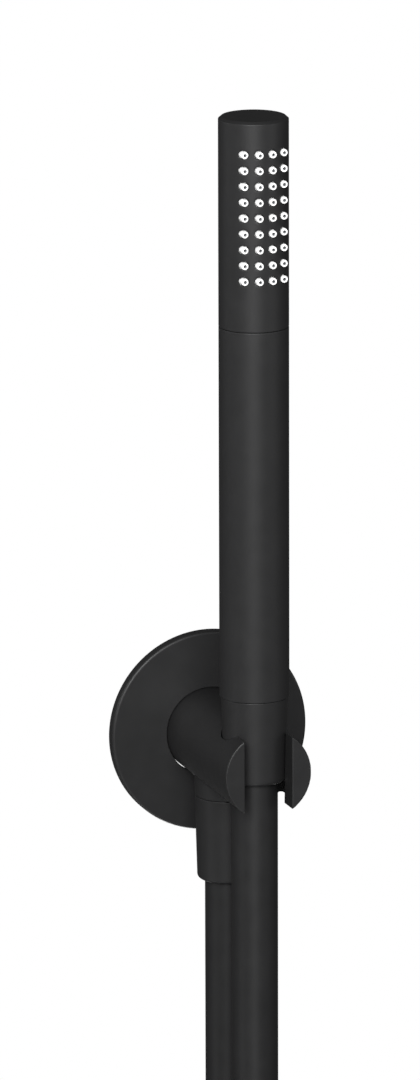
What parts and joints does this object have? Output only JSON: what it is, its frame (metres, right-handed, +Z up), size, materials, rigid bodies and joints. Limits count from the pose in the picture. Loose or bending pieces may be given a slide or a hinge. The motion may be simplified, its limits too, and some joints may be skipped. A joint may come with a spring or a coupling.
{
  "type": "handheld shower head with wall outlet holder",
  "caption": "Stick hand shower seated in a wall outlet that is also its holder, with silicone spray nozzles, conical hose nuts, a non-return valve and a smooth hose.",
  "frame": {"origin": "centre of the water supply where it leaves the finished wall, on the axis of the round holder arm", "axes": "+Y runs into the wall along the supply, +Z is up along the stick, +X is to the right for a person facing the wall"},
  "size_m": [0.2066, 0.0858, 0.6341],
  "materials": {
    "black_coat": "matte",
    "hose_black": "satin",
    "silicone": "matte",
    "seal_rubber": "matte",
    "foam": "matte",
    "brass": "satin",
    "grey_plastic": "matte",
    "white_plastic": "matte",
    "steel": "brushed",
    "strap": "matte"
  },
  "bodies": {
    "wall_bracket": {"wall_rosette": "black_coat", "rosette_gasket": "foam", "supply_nipple": "brass", "supply_o_ring_inner": "seal_rubber", "supply_o_ring_outer": "seal_rubber", "lock_screw": "steel", "holder_arm": "black_coat", "outlet_nipple": "black_coat", "outlet_o_ring": "seal_rubber", "valve_housing": "white_plastic", "valve_o_ring": "seal_rubber", "valve_spring": "steel", "outlet_hose_nut": "black_coat", "outlet_hose_washer": "seal_rubber", "outlet_hose_tail": "brass", "outlet_hose_cuff": "hose_black", "hose_outlet_run": "hose_black", "hose_coil": "hose_black", "hose_handset_run": "hose_black", "hose_tie_left": "strap", "hose_tie_right": "strap"},
    "valve": {"valve_poppet": "grey_plastic"},
    "hose_end": {"handset_hose_tail": "brass", "handset_hose_cuff": "hose_black"},
    "handset": {"handset_hose_nut": "black_coat", "handset_hose_washer": "seal_rubber", "inlet_connector": "brass", "connector_o_ring": "seal_rubber", "inlet_filter": "steel", "flow_limiter": "white_plastic", "handle_tube": "black_coat", "water_tube": "grey_plastic", "neck_connector": "grey_plastic", "neck_o_ring_lower": "seal_rubber", "neck_o_ring_upper": "seal_rubber", "spray_shell": "black_coat", "nozzle_mat": "silicone", "jet_carrier": "white_plastic"}
  },
  "joints": [
    {"name": "handset_lift", "type": "slide", "parent": "wall_bracket", "child": "hose_end", "axis": [0, 0, 1], "range_m": [0, 0.025]},
    {"name": "handset_swivel", "type": "hinge", "parent": "hose_end", "child": "handset", "pos_m": [0, -0.0543, 0], "axis": [0, 0, 1], "continuous": true},
    {"name": "valve_travel", "type": "slide", "parent": "wall_bracket", "child": "valve", "axis": [0, 0, -1], "range_m": [0, 0.0025], "stiffness_N_per_m": 100, "springref_m": -0.003, "deforming": ["valve_spring"]}
  ]
}
